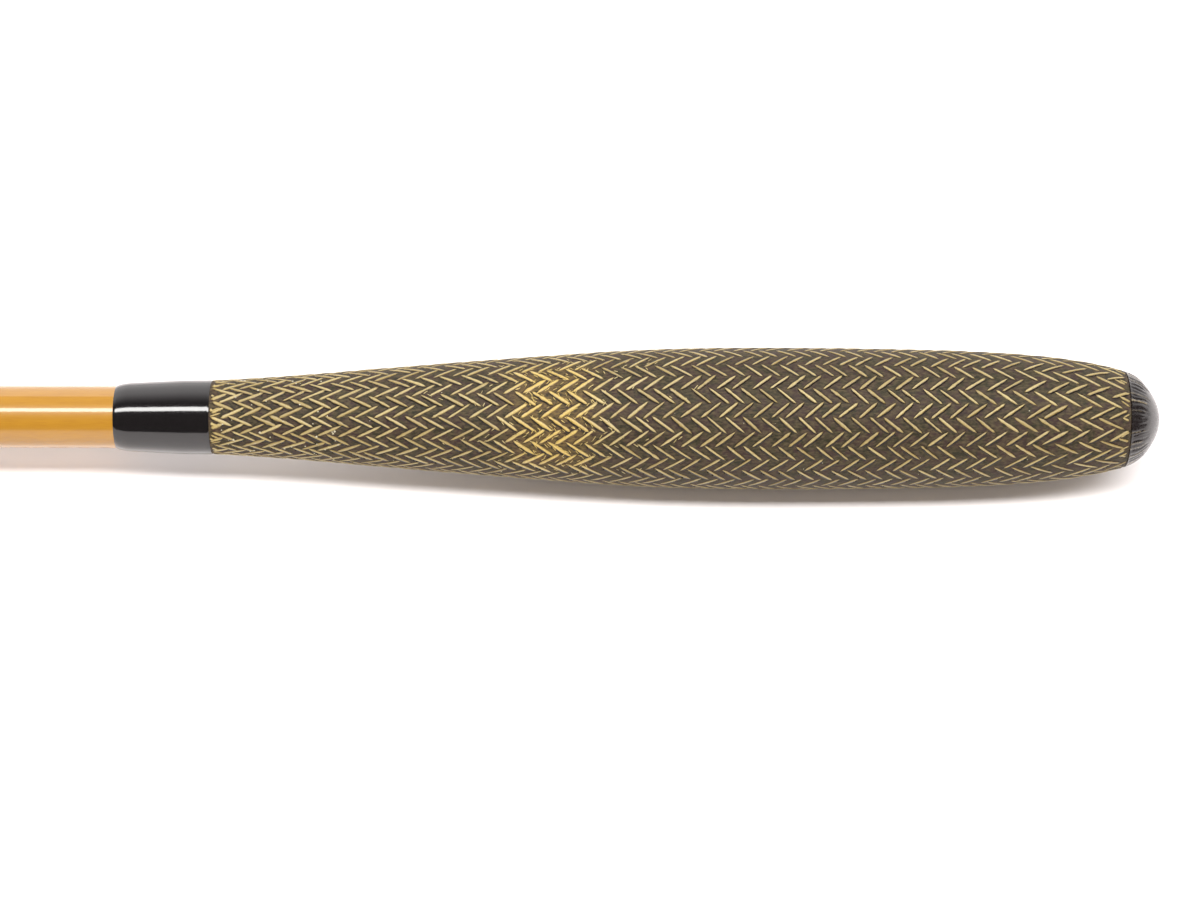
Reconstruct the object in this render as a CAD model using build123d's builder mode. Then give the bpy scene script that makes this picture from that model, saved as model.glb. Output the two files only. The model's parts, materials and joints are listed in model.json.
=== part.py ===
"""Telescopic fixed-line fly rod, closed: braided grip, screw butt cap and seven sliding sections.

Millimetres. +X points to the butt, -X to the tip and +Z up. The rod lies level with the fullest
part of its grip on z = 0, and the origin is on that surface, half way between crown and tip.

Every piece is turned about the rod's axis, so its outline is drawn in one half plane as
(station, radius): the station is counted from the crown of the butt cap towards the tip.
"""

import os

from build123d import *

os.makedirs("parts", exist_ok=True)

# ---------------------------------------------------------------- driving dimensions
CLOSED_LENGTH = 500.0  # crown of the butt cap to the end of the line knob

# grip
GRIP_LENGTH = 182.1
GRIP_SWELL_RADIUS = 14.2  # at the fullest place
BRAID_THICKNESS = 0.9

# bindings and arbors inside the grip
ARBOR_THICKNESS = 0.5
REAR_ARBOR_LENGTH = 12.0
FRONT_ARBOR_SEAT = 14.0  # the length of the front arbor that carries the core
FAIRING_LENGTH = 17.0  # the front arbor's bare, tapered end, which carries the braid
FAIRING_END_THICKNESS = 0.19  # of that end, at the collar
FRONT_BINDING_LENGTH = 7.0
FRONT_BINDING_THICKNESS = 0.45
REAR_BINDING_LENGTH = 6.0
REAR_BINDING_THICKNESS = 0.44  # at its rear end, on the socket

# butt cap and its socket
DOME_LENGTH = 7.0
DOME_CROWN_WALL = 2.6
DOME_EDGE_ROUND = 0.25
CAP_GAP = 0.1  # between the closed cap and the grip
THREAD_OVER_BLANK = 0.03  # crest of the plug's thread outside the blank's rear end
THREAD_DEPTH = 0.45
THREAD_PITCH = 1.0
PLUG_REACH = 8.2  # how far the plug stands in front of the dome
PLUG_BORE_RADIUS = 4.2
SPIGOT_RADIUS = 5.0  # plug's rear end, bonded in the dome
SOCKET_RIM = 0.4  # wall outside the O-ring's pocket
SOCKET_LENGTH = 16.8
SEAL_SECTION = 1.2  # diameter of the O-ring's cord
PAD_THICKNESS = 1.5
PAD_SPIGOT = 3.0

# front collar
COLLAR_LENGTH = 19.1
COLLAR_STEP = 0.03  # what the collar's rear edge stands over the braid
COLLAR_LIP = 0.2  # what its front edge stands over the blank
COLLAR_LIP_ROUND = 0.12
COLLAR_REAR_ROUND = 0.25

# blank: outer radius at the collar's front edge, then each section from the butt to the tip
BLANK_RADIUS = 6.25
SECTION_WALLS = [0.65, 0.55, 0.50, 0.45, 0.40, 0.36, 0.32]
SECTION_SHRINKS = [0.40, 0.40, 0.39, 0.37, 0.35, 0.31, 0.27, 0.38]  # radius lost, rear to front
SECTION_OVERLAP = 55.0  # held inside the next section when drawn out
MOUTH_STEP = 4.0  # each closed section stands this far out of the last
REST_GAP = 0.3  # sections' rear ends to the cushion pad

# mouth wraps and tip
MUZZLE_WRAP_LENGTH = 14.0
MUZZLE_WRAP_THICKNESS = 0.33  # at its rear end
WRAP_LENGTH = 9.0
WRAP_THICKNESS = 0.14
WRAP_ROUND = 0.06
TIP_REACH = 16.0  # end of the line knob beyond the last mouth
FERRULE_BARE = 4.5  # bare tip between the last mouth and the ferrule
FERRULE_LENGTH = 6.5
FERRULE_WALL = 0.5  # round the tip
FERRULE_ROUND = 0.16
KNOB_RADIUS = 1.0
KNOB_WAIST_RADIUS = 0.55
KNOB_FLANGE = 0.7
KNOB_NECK_RADIUS = 0.34
KNOB_HEAD_RADIUS = 0.57
KNOB_HEAD_LENGTH = 1.2
SWIVEL_FRONT_WALL = 0.9
WHIPPING_LENGTH = 2.4
WHIPPING_THICKNESS = 0.12

# fits
GLUE = 0.03  # bond line between pieces of one assembly
RUNNING = 0.05  # radial clearance of what turns or slides
END_PLAY = 0.15  # axial clearance of the same

# Outline of the grip, as (share of its length, share of the rise from that end to the swell).
REAR_SIDE = [(0.035, 0.34), (0.085, 0.63), (0.17, 0.86), (0.27, 0.96), (0.40, 1.0)]
FRONT_SIDE = [(0.53, 0.925), (0.65, 0.715), (0.82, 0.355), (0.91, 0.15)]

# ---------------------------------------------------------------- stations and radii
BUTT_X = CLOSED_LENGTH / 2
AXIS_HEIGHT = GRIP_SWELL_RADIUS
ROD_AXIS = Axis((0, 0, AXIS_HEIGHT), (1, 0, 0))
HALF_PLANE = Plane(origin=(BUTT_X, 0, AXIS_HEIGHT), x_dir=(-1, 0, 0), z_dir=(0, 1, 0))

GRIP_REAR = DOME_LENGTH + CAP_GAP
GRIP_FRONT = GRIP_REAR + GRIP_LENGTH
COLLAR_FRONT = GRIP_FRONT + COLLAR_LENGTH

PLUG_FRONT = DOME_LENGTH + PLUG_REACH
PAD_FRONT = PLUG_FRONT + PAD_THICKNESS
SECTIONS_REAR = PAD_FRONT + REST_GAP
BLANK_REAR = PLUG_FRONT + REST_GAP
SOCKET_REAR = GRIP_REAR + CAP_GAP
SOCKET_FRONT = SOCKET_REAR + SOCKET_LENGTH
REAR_ARBOR_REAR = SOCKET_FRONT + 2 * GLUE

SECTION_COUNT = len(SECTION_SHRINKS)
LAST_TUBE = SECTION_COUNT - 1
MUZZLE = CLOSED_LENGTH - TIP_REACH - (LAST_TUBE - 1) * MOUTH_STEP


def mouth(section):
    """Station of a tube section's front end with the rod closed; section 1 is the butt."""
    return MUZZLE + (section - 1) * MOUTH_STEP


def outer_radius(section, station):
    """Outside of a section: its rear cone fills the last section's mouth when drawn out."""
    taper = SECTION_SHRINKS[section - 1] / (mouth(section) - SECTIONS_REAR)
    if section == 1:
        return BLANK_RADIUS + taper * (COLLAR_FRONT - station)
    in_the_mouth = bore_radius(section - 1, mouth(section - 1)) - RUNNING
    return in_the_mouth + taper * (SECTIONS_REAR + SECTION_OVERLAP - station)


def bore_radius(section, station):
    """Inside of a tube section."""
    return outer_radius(section, station) - SECTION_WALLS[section - 1]


def on_blank(station, thickness=0.0):
    """A point on a layer of the given thickness, bonded on the butt blank."""
    return (station, outer_radius(1, station) + GLUE + thickness)


SEAL_RADIUS = SEAL_SECTION / 2
THREAD_RADIUS = outer_radius(1, BLANK_REAR) + THREAD_OVER_BLANK
SOCKET_BORE_RADIUS = THREAD_RADIUS + RUNNING
SEAL_CENTRE_RADIUS = SOCKET_BORE_RADIUS + 2 * RUNNING + SEAL_RADIUS
SEAL_POCKET_RADIUS = SEAL_CENTRE_RADIUS + SEAL_RADIUS + 2 * RUNNING
SOCKET_RADIUS = SEAL_POCKET_RADIUS + SOCKET_RIM
ARBOR_RADIUS = outer_radius(1, SOCKET_FRONT) + GLUE + ARBOR_THICKNESS
CORE_INSET = BRAID_THICKNESS + GLUE
GRIP_REAR_RADIUS = SOCKET_RADIUS + GLUE + REAR_BINDING_THICKNESS + CORE_INSET
GRIP_FRONT_RADIUS = outer_radius(1, GRIP_FRONT) + GLUE + FAIRING_END_THICKNESS + CORE_INSET
CORE_REAR = GRIP_REAR + REAR_BINDING_LENGTH
CORE_FRONT = GRIP_FRONT - FAIRING_LENGTH


def grip_outline(inset):
    """Points of the grip's outline from rear to front, drawn in by a radial inset."""
    points = [(GRIP_REAR, GRIP_REAR_RADIUS - inset)]
    for end_radius, side in ((GRIP_REAR_RADIUS, REAR_SIDE), (GRIP_FRONT_RADIUS, FRONT_SIDE)):
        for share, rise in side:
            radius = end_radius + rise * (GRIP_SWELL_RADIUS - end_radius)
            points.append((GRIP_REAR + share * GRIP_LENGTH, radius - inset))
    points.append((GRIP_FRONT, GRIP_FRONT_RADIUS - inset))
    return points


# ---------------------------------------------------------------- sections
# Section 1 is the butt blank. Each of the others stands inside the one before it.
for section in range(1, SECTION_COUNT):
    rear = BLANK_REAR if section == 1 else SECTIONS_REAR
    front = mouth(section)
    with BuildPart() as tube:
        with BuildSketch(HALF_PLANE):
            with BuildLine():
                Polyline(
                    (rear, bore_radius(section, rear)),
                    (rear, outer_radius(section, rear)),
                    (front, outer_radius(section, front)),
                    (front, bore_radius(section, front)),
                    close=True,
                )
            make_face()
        revolve(axis=ROD_AXIS)
    node = "butt_blank" if section == 1 else f"section_{section}"
    tube.part.label = node
    export_step(tube.part, f"parts/{node}.step")

# Mouth wraps: a lacquered thread binding that keeps each thin mouth from splitting.
for section in range(2, SECTION_COUNT):
    front = mouth(section)
    rear = front - WRAP_LENGTH
    with BuildPart() as wrap:
        with BuildSketch(HALF_PLANE) as outline:
            with BuildLine():
                Polyline(
                    (rear, outer_radius(section, rear) + GLUE),
                    (rear, outer_radius(section, rear) + GLUE + WRAP_THICKNESS),
                    (front, outer_radius(section, front) + GLUE + WRAP_THICKNESS),
                    (front, outer_radius(section, front) + GLUE),
                    close=True,
                )
            make_face()
            fillet(outline.vertices().sort_by(Axis.Y)[-2:], WRAP_ROUND)
        revolve(axis=ROD_AXIS)
    wrap.part.label = f"section_{section}_wrap"
    export_step(wrap.part, f"parts/section_{section}_wrap.step")

# The butt's own mouth wrap is parallel: a slip-on travel cap seats on it.
MUZZLE_WRAP_REAR = MUZZLE - MUZZLE_WRAP_LENGTH
MUZZLE_WRAP_RADIUS = outer_radius(1, MUZZLE_WRAP_REAR) + GLUE + MUZZLE_WRAP_THICKNESS
with BuildPart() as muzzle_wrap:
    with BuildSketch(HALF_PLANE) as outline:
        with BuildLine():
            Polyline(
                on_blank(MUZZLE_WRAP_REAR),
                (MUZZLE_WRAP_REAR, MUZZLE_WRAP_RADIUS),
                (MUZZLE, MUZZLE_WRAP_RADIUS),
                on_blank(MUZZLE),
                close=True,
            )
        make_face()
        fillet(outline.vertices().sort_by(Axis.Y)[-2:], WRAP_ROUND)
    revolve(axis=ROD_AXIS)
muzzle_wrap.part.label = "muzzle_wrap"
export_step(muzzle_wrap.part, "parts/muzzle_wrap.step")

# ---------------------------------------------------------------- tip
FERRULE_REAR = mouth(LAST_TUBE) + FERRULE_BARE
FERRULE_FRONT = FERRULE_REAR + FERRULE_LENGTH
CHAMBER_FRONT = FERRULE_FRONT - SWIVEL_FRONT_WALL
CHAMBER_REAR = CHAMBER_FRONT - KNOB_HEAD_LENGTH - 2 * END_PLAY
CHAMBER_RADIUS = KNOB_HEAD_RADIUS + RUNNING
TIP_FRONT = CHAMBER_REAR - END_PLAY


def tip_radius(station):
    """Outside of the solid tip."""
    return outer_radius(SECTION_COUNT, station)


FERRULE_RADIUS = tip_radius(FERRULE_REAR) + GLUE + FERRULE_WALL

# Solid tip: the thinnest section, a plain cone.
with BuildPart() as tip_blank:
    with BuildSketch(HALF_PLANE):
        with BuildLine():
            Polyline(
                (SECTIONS_REAR, 0),
                (SECTIONS_REAR, tip_radius(SECTIONS_REAR)),
                (TIP_FRONT, tip_radius(TIP_FRONT)),
                (TIP_FRONT, 0),
                close=True,
            )
        make_face()
    revolve(axis=ROD_AXIS)
tip_blank.part.label = "tip_blank"
export_step(tip_blank.part, "parts/tip_blank.step")

# Thread whipping that stops the ferrule from creeping back.
WHIPPING_FRONT = FERRULE_REAR - GLUE
WHIPPING_REAR = WHIPPING_FRONT - WHIPPING_LENGTH
with BuildPart() as tip_whipping:
    with BuildSketch(HALF_PLANE) as outline:
        with BuildLine():
            Polyline(
                (WHIPPING_REAR, tip_radius(WHIPPING_REAR) + GLUE),
                (WHIPPING_REAR, tip_radius(WHIPPING_REAR) + GLUE + WHIPPING_THICKNESS),
                (WHIPPING_FRONT, tip_radius(WHIPPING_FRONT) + GLUE + WHIPPING_THICKNESS),
                (WHIPPING_FRONT, tip_radius(WHIPPING_FRONT) + GLUE),
                close=True,
            )
        make_face()
        fillet(outline.vertices().sort_by(Axis.Y)[-2:], WRAP_ROUND)
    revolve(axis=ROD_AXIS)
tip_whipping.part.label = "tip_whipping"
export_step(tip_whipping.part, "parts/tip_whipping.step")

# Swivel ferrule: bonded on the tip, with a closed chamber for the knob's head.
with BuildPart() as tip_ferrule:
    with BuildSketch(HALF_PLANE) as outline:
        with BuildLine():
            Polyline(
                (FERRULE_REAR, tip_radius(FERRULE_REAR) + GLUE),
                (FERRULE_REAR, FERRULE_RADIUS),
                (FERRULE_FRONT, FERRULE_RADIUS),
                (FERRULE_FRONT, KNOB_NECK_RADIUS + RUNNING),
                (CHAMBER_FRONT, KNOB_NECK_RADIUS + RUNNING),
                (CHAMBER_FRONT, CHAMBER_RADIUS),
                (CHAMBER_REAR, CHAMBER_RADIUS),
                (CHAMBER_REAR, tip_radius(FERRULE_REAR) + GLUE),
                close=True,
            )
        make_face()
        fillet(outline.vertices().sort_by(Axis.Y)[-2:], FERRULE_ROUND)
    revolve(axis=ROD_AXIS)
tip_ferrule.part.label = "tip_ferrule"
export_step(tip_ferrule.part, "parts/tip_ferrule.step")

# Line knob: a head that turns in the ferrule, a neck, and a waisted ball for the line's loop.
FLANGE_REAR = FERRULE_FRONT + END_PLAY
BALL_CENTRE = CLOSED_LENGTH - KNOB_RADIUS
with BuildPart() as line_knob:
    with BuildSketch(HALF_PLANE):
        with BuildLine():
            Polyline(
                (BALL_CENTRE, KNOB_WAIST_RADIUS),
                (FLANGE_REAR + KNOB_FLANGE, KNOB_WAIST_RADIUS),
                (FLANGE_REAR + KNOB_FLANGE, KNOB_RADIUS),
                (FLANGE_REAR, KNOB_RADIUS),
                (FLANGE_REAR, KNOB_NECK_RADIUS),
                (CHAMBER_FRONT - END_PLAY, KNOB_NECK_RADIUS),
                (CHAMBER_FRONT - END_PLAY, KNOB_HEAD_RADIUS),
                (CHAMBER_FRONT - END_PLAY - KNOB_HEAD_LENGTH, KNOB_HEAD_RADIUS),
                (CHAMBER_FRONT - END_PLAY - KNOB_HEAD_LENGTH, 0),
                (BALL_CENTRE, 0),
                close=True,
            )
        make_face()
        with BuildLine():
            half_ball = CenterArc((BALL_CENTRE, 0), KNOB_RADIUS, 0, 180)
            Line(half_ball @ 1, half_ball @ 0)
        make_face()
    revolve(axis=ROD_AXIS)
line_knob.part.label = "line_knob"
export_step(line_knob.part, "parts/line_knob.step")

# ---------------------------------------------------------------- grip
# Collar: black lacquered cone that covers the braid's front binding.
BINDING_REAR = GRIP_FRONT + GLUE
BINDING_FRONT = BINDING_REAR + FRONT_BINDING_LENGTH
COLLAR_POCKET_FRONT = BINDING_FRONT + GLUE
with BuildPart() as front_collar:
    with BuildSketch(HALF_PLANE) as outline:
        with BuildLine():
            Polyline(
                (GRIP_FRONT, GRIP_FRONT_RADIUS + COLLAR_STEP),
                on_blank(COLLAR_FRONT, COLLAR_LIP),
                on_blank(COLLAR_FRONT),
                on_blank(COLLAR_POCKET_FRONT),
                on_blank(COLLAR_POCKET_FRONT, FRONT_BINDING_THICKNESS + GLUE),
                on_blank(GRIP_FRONT, FRONT_BINDING_THICKNESS + GLUE),
                close=True,
            )
        make_face()
        fillet(outline.vertices().sort_by(Axis.Y)[-1], COLLAR_REAR_ROUND)
        lip = outline.vertices().group_by(Axis.X)[-1].sort_by(Axis.Y)[-1]
        fillet(lip, COLLAR_LIP_ROUND)
    revolve(axis=ROD_AXIS)
front_collar.part.label = "front_collar"
export_step(front_collar.part, "parts/front_collar.step")

# Front binding: thread wound over the braid's front ends, under the collar.
with BuildPart() as front_binding:
    with BuildSketch(HALF_PLANE):
        with BuildLine():
            Polyline(
                on_blank(BINDING_REAR),
                on_blank(BINDING_REAR, FRONT_BINDING_THICKNESS),
                on_blank(BINDING_FRONT, FRONT_BINDING_THICKNESS),
                on_blank(BINDING_FRONT),
                close=True,
            )
        make_face()
    revolve(axis=ROD_AXIS)
front_binding.part.label = "front_binding"
export_step(front_binding.part, "parts/front_binding.step")

# Braid sleeve: the lacquered covering, whose outside is the grip's outline.
with BuildPart() as braid_sleeve:
    with BuildSketch(HALF_PLANE):
        with BuildLine():
            outside = Spline(*grip_outline(0))
            inside = Spline(*grip_outline(BRAID_THICKNESS))
            Line(outside @ 0, inside @ 0)
            Line(outside @ 1, inside @ 1)
        make_face()
    revolve(axis=ROD_AXIS)
braid_sleeve.part.label = "braid_sleeve"
export_step(braid_sleeve.part, "parts/braid_sleeve.step")

# Grip core: under the braid, bored for the arbors and counterbored for the socket.
with BuildPart() as grip_core:
    with BuildSketch(HALF_PLANE):
        with BuildLine():
            under_braid = Spline(*grip_outline(CORE_INSET))
            Polyline(under_braid @ 0, (GRIP_REAR, 0), (GRIP_FRONT, 0), under_braid @ 1)
        make_face()
        with BuildLine():
            Polyline(
                (CORE_REAR, SOCKET_RADIUS + GLUE),
                (REAR_ARBOR_REAR, SOCKET_RADIUS + GLUE),
                (REAR_ARBOR_REAR, ARBOR_RADIUS + GLUE),
                (CORE_FRONT, ARBOR_RADIUS + GLUE),
                (CORE_FRONT, 2 * GRIP_SWELL_RADIUS),
                (CORE_REAR, 2 * GRIP_SWELL_RADIUS),
                close=True,
            )
        make_face(mode=Mode.INTERSECT)
    revolve(axis=ROD_AXIS)
grip_core.part.label = "grip_core"
export_step(grip_core.part, "parts/grip_core.step")

# Rear arbor: a winding that centres the core on the blank.
REAR_ARBOR_FRONT = REAR_ARBOR_REAR + REAR_ARBOR_LENGTH
with BuildPart() as rear_arbor:
    with BuildSketch(HALF_PLANE):
        with BuildLine():
            Polyline(
                on_blank(REAR_ARBOR_REAR),
                (REAR_ARBOR_REAR, ARBOR_RADIUS),
                (REAR_ARBOR_FRONT, ARBOR_RADIUS),
                on_blank(REAR_ARBOR_FRONT),
                close=True,
            )
        make_face()
    revolve(axis=ROD_AXIS)
rear_arbor.part.label = "rear_arbor"
export_step(rear_arbor.part, "parts/rear_arbor.step")

# Front arbor: a winding under the core's front end, which runs on as a fairing to the collar.
with BuildPart() as front_arbor:
    with BuildSketch(HALF_PLANE):
        with BuildLine():
            under_braid = Spline(*grip_outline(CORE_INSET))
            Polyline(under_braid @ 0, (GRIP_REAR, 0), (GRIP_FRONT, 0), under_braid @ 1)
        make_face()
        with BuildLine():
            Polyline(
                on_blank(CORE_FRONT - FRONT_ARBOR_SEAT),
                (CORE_FRONT - FRONT_ARBOR_SEAT, ARBOR_RADIUS),
                (CORE_FRONT + GLUE, ARBOR_RADIUS),
                (CORE_FRONT + GLUE, 2 * GRIP_SWELL_RADIUS),
                (GRIP_FRONT, 2 * GRIP_SWELL_RADIUS),
                on_blank(GRIP_FRONT),
                close=True,
            )
        make_face(mode=Mode.INTERSECT)
    revolve(axis=ROD_AXIS)
front_arbor.part.label = "front_arbor"
export_step(front_arbor.part, "parts/front_arbor.step")

# Rear binding: thread between the socket and the braid's turned-in rear ends.
with BuildPart() as rear_binding:
    with BuildSketch(HALF_PLANE):
        with BuildLine():
            under_braid = Spline(*grip_outline(CORE_INSET))
            Polyline(under_braid @ 0, (GRIP_REAR, 0), (GRIP_FRONT, 0), under_braid @ 1)
        make_face()
        with BuildLine():
            Polyline(
                (SOCKET_REAR, SOCKET_RADIUS + GLUE),
                (CORE_REAR - GLUE, SOCKET_RADIUS + GLUE),
                (CORE_REAR - GLUE, 2 * GRIP_SWELL_RADIUS),
                (SOCKET_REAR, 2 * GRIP_SWELL_RADIUS),
                close=True,
            )
        make_face(mode=Mode.INTERSECT)
    revolve(axis=ROD_AXIS)
rear_binding.part.label = "rear_binding"
export_step(rear_binding.part, "parts/rear_binding.step")

# ---------------------------------------------------------------- butt cap
SEAL_STATION = SOCKET_REAR + RUNNING + SEAL_RADIUS
SEAL_POCKET_FRONT = SEAL_STATION + SEAL_RADIUS + 2 * RUNNING
FIRST_GROOVE = SEAL_POCKET_FRONT + THREAD_PITCH
GROOVE_COUNT = int((PLUG_FRONT - FIRST_GROOVE - THREAD_DEPTH) / THREAD_PITCH) + 1
GROOVES = [FIRST_GROOVE + turn * THREAD_PITCH for turn in range(GROOVE_COUNT)]

# Socket: bonded on the blank's rear end, with a pocket for the O-ring at its mouth.
with BuildPart() as butt_socket:
    with BuildSketch(HALF_PLANE):
        with BuildLine():
            Polyline(
                (SOCKET_REAR, SEAL_POCKET_RADIUS),
                (SOCKET_REAR, SOCKET_RADIUS),
                (SOCKET_FRONT, SOCKET_RADIUS),
                on_blank(SOCKET_FRONT),
                on_blank(BLANK_REAR),
                (BLANK_REAR, SOCKET_BORE_RADIUS),
                (SEAL_POCKET_FRONT, SOCKET_BORE_RADIUS),
                (SEAL_POCKET_FRONT, SEAL_POCKET_RADIUS),
                close=True,
            )
        make_face()
        for station in GROOVES:
            with BuildLine():
                Polyline(
                    (station - THREAD_DEPTH, SOCKET_BORE_RADIUS),
                    (station, SOCKET_BORE_RADIUS + THREAD_DEPTH),
                    (station + THREAD_DEPTH, SOCKET_BORE_RADIUS),
                    close=True,
                )
            make_face(mode=Mode.SUBTRACT)
    revolve(axis=ROD_AXIS)
butt_socket.part.label = "butt_socket"
export_step(butt_socket.part, "parts/butt_socket.step")

# Dome: the black lacquered end, hollowed for the plug's spigot.
SPIGOT_REAR = DOME_CROWN_WALL
with BuildPart() as butt_cap_dome:
    with BuildSketch(HALF_PLANE) as outline:
        with BuildLine():
            crown = Spline(
                (0, 0),
                (0.19 * DOME_LENGTH, 0.475 * GRIP_REAR_RADIUS),
                (0.55 * DOME_LENGTH, 0.815 * GRIP_REAR_RADIUS),
                (DOME_LENGTH, GRIP_REAR_RADIUS - DOME_EDGE_ROUND / 4),
                tangents=((0, 1), (1, 0.35)),
            )
            Polyline(
                crown @ 1,
                (DOME_LENGTH, SPIGOT_RADIUS + GLUE),
                (SPIGOT_REAR, SPIGOT_RADIUS + GLUE),
                (SPIGOT_REAR, 0),
                crown @ 0,
            )
        make_face()
    revolve(axis=ROD_AXIS)
butt_cap_dome.part.label = "butt_cap_dome"
export_step(butt_cap_dome.part, "parts/butt_cap_dome.step")

# Plug: hollow, threaded, with its rear spigot bonded in the dome.
with BuildPart() as cap_plug:
    with BuildSketch(HALF_PLANE) as outline:
        with BuildLine():
            Polyline(
                (SPIGOT_REAR + GLUE, 0),
                (SPIGOT_REAR + GLUE, SPIGOT_RADIUS),
                (DOME_LENGTH + GLUE, SPIGOT_RADIUS),
                (DOME_LENGTH + GLUE, THREAD_RADIUS),
                (PLUG_FRONT, THREAD_RADIUS),
                (PLUG_FRONT, PLUG_BORE_RADIUS),
                (DOME_LENGTH, PLUG_BORE_RADIUS),
                (DOME_LENGTH, 0),
                close=True,
            )
        make_face()
        for station in GROOVES:
            with BuildLine():
                Polyline(
                    (station - THREAD_DEPTH, THREAD_RADIUS),
                    (station, THREAD_RADIUS - THREAD_DEPTH),
                    (station + THREAD_DEPTH, THREAD_RADIUS),
                    close=True,
                )
            make_face(mode=Mode.SUBTRACT)
    revolve(axis=ROD_AXIS)
cap_plug.part.label = "cap_plug"
export_step(cap_plug.part, "parts/cap_plug.step")

# O-ring: between the dome's face and the socket's pocket.
with BuildPart() as o_ring:
    with BuildSketch(HALF_PLANE):
        with Locations((SEAL_STATION, SEAL_CENTRE_RADIUS)):
            Circle(SEAL_RADIUS)
    revolve(axis=ROD_AXIS)
o_ring.part.label = "o_ring"
export_step(o_ring.part, "parts/o_ring.step")

# Cushion pad: the closed sections stand on it; its spigot is pressed in the plug's bore.
PAD_RADIUS = bore_radius(1, PAD_FRONT) - 3 * RUNNING
with BuildPart() as cushion_pad:
    with BuildSketch(HALF_PLANE):
        with BuildLine():
            Polyline(
                (PLUG_FRONT - PAD_SPIGOT, 0),
                (PLUG_FRONT - PAD_SPIGOT, PLUG_BORE_RADIUS - GLUE),
                (PLUG_FRONT + GLUE, PLUG_BORE_RADIUS - GLUE),
                (PLUG_FRONT + GLUE, PAD_RADIUS),
                (PAD_FRONT, PAD_RADIUS),
                (PAD_FRONT, 0),
                close=True,
            )
        make_face()
    revolve(axis=ROD_AXIS)
cushion_pad.part.label = "cushion_pad"
export_step(cushion_pad.part, "parts/cushion_pad.step")

for section in range(2, SECTION_COUNT + 1):
    travel = mouth(section - 1) - SECTION_OVERLAP - SECTIONS_REAR
    print(f"section {section} draws out {travel:.1f} mm")
print(f"travel cap's seat {MUZZLE_WRAP_RADIUS:.3f} mm in radius, at x {BUTT_X - MUZZLE_WRAP_REAR:.1f} mm")
print(f"grip radii: rear {GRIP_REAR_RADIUS:.2f}, front {GRIP_FRONT_RADIUS:.2f} mm")
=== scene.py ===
# %% [markdown]
# # A closed fly rod with a braided grip
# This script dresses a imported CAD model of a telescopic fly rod. The CAD gives every place and size,
# so the first step loads it as a fixed frame, and nothing later moves it. The rod lies along X, with
# its butt cap at +X. Lengths are read in millimetres and turned to metres only when a mesh is made,
# because a maker of rods thinks in millimetres and Blender in metres.

# %% The frame
import json
import math

import bmesh
import bpy
import numpy as np
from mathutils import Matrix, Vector
from mathutils.bvhtree import BVHTree


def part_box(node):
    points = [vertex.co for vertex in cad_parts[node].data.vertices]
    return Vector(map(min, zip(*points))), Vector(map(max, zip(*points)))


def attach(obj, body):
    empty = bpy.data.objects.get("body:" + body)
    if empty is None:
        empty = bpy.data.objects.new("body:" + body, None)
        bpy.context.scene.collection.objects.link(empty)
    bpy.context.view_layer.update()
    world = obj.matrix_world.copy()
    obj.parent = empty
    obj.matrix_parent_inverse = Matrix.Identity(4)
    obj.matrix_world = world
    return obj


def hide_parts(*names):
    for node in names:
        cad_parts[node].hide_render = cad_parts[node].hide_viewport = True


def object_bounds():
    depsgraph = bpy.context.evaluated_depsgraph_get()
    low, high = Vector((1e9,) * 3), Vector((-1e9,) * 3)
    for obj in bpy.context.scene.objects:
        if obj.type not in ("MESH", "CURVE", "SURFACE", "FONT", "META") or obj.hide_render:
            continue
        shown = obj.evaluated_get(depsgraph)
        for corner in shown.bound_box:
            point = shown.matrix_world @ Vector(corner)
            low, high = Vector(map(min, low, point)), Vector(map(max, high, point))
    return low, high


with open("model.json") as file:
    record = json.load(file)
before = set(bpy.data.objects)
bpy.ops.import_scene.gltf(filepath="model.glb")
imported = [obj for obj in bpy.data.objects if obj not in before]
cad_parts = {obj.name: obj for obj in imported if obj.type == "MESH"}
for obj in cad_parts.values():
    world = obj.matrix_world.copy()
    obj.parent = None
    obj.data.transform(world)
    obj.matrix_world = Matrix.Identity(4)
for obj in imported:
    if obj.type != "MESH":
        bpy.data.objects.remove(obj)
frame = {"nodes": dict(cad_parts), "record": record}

MM = 0.001
cad_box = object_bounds()
print("pieces from the CAD:", len(frame["nodes"]), "box:", cad_box)

# %% [markdown]
# ## Reading the rod's outline
# Everything on a rod is turned about one axis, so one number says where a ring lies: its station,
# in millimetres from the crown of the butt cap. Radii could be copied from the CAD script, but they
# would go stale, so they are measured: a ray is shot at the CAD mesh and the hit gives the radius.

# %% The axis and the stations
low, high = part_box("butt_blank")
AXIS_Z = (low.z + high.z) / 2 / MM
AXIS_Y = (low.y + high.y) / 2 / MM
BUTT_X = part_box("butt_cap_dome")[1].x / MM
print("axis at y", round(AXIS_Y, 3), "z", round(AXIS_Z, 3), "crown at x", round(BUTT_X, 3))


def stations(node):
    """The rear and front ends of a CAD piece, in millimetres from the crown."""
    lo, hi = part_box(node)
    return BUTT_X - hi.x / MM, BUTT_X - lo.x / MM


def tree_of(node):
    """A search tree of a CAD piece's faces."""
    mesh = frame["nodes"][node].data
    points = [v.co for v in mesh.vertices]
    return BVHTree.FromPolygons(points, [p.vertices for p in mesh.polygons])


RAY_START = 50  # over the axis, well above the grip


def radii(node, where, inside=False):
    """Outer (or inner) radii of a CAD piece at the given stations, in millimetres."""
    tree = tree_of(node)
    start_z = AXIS_Z if inside else AXIS_Z + RAY_START
    way = Vector((0, 0, 1)) if inside else Vector((0, 0, -1))
    found = []
    for s in where:
        hit = tree.ray_cast(Vector((BUTT_X - s, AXIS_Y, start_z)) * MM, way)[0]
        found.append(abs(hit.z - AXIS_Z * MM) / MM if hit else float("nan"))
    return np.array(found)


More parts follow.
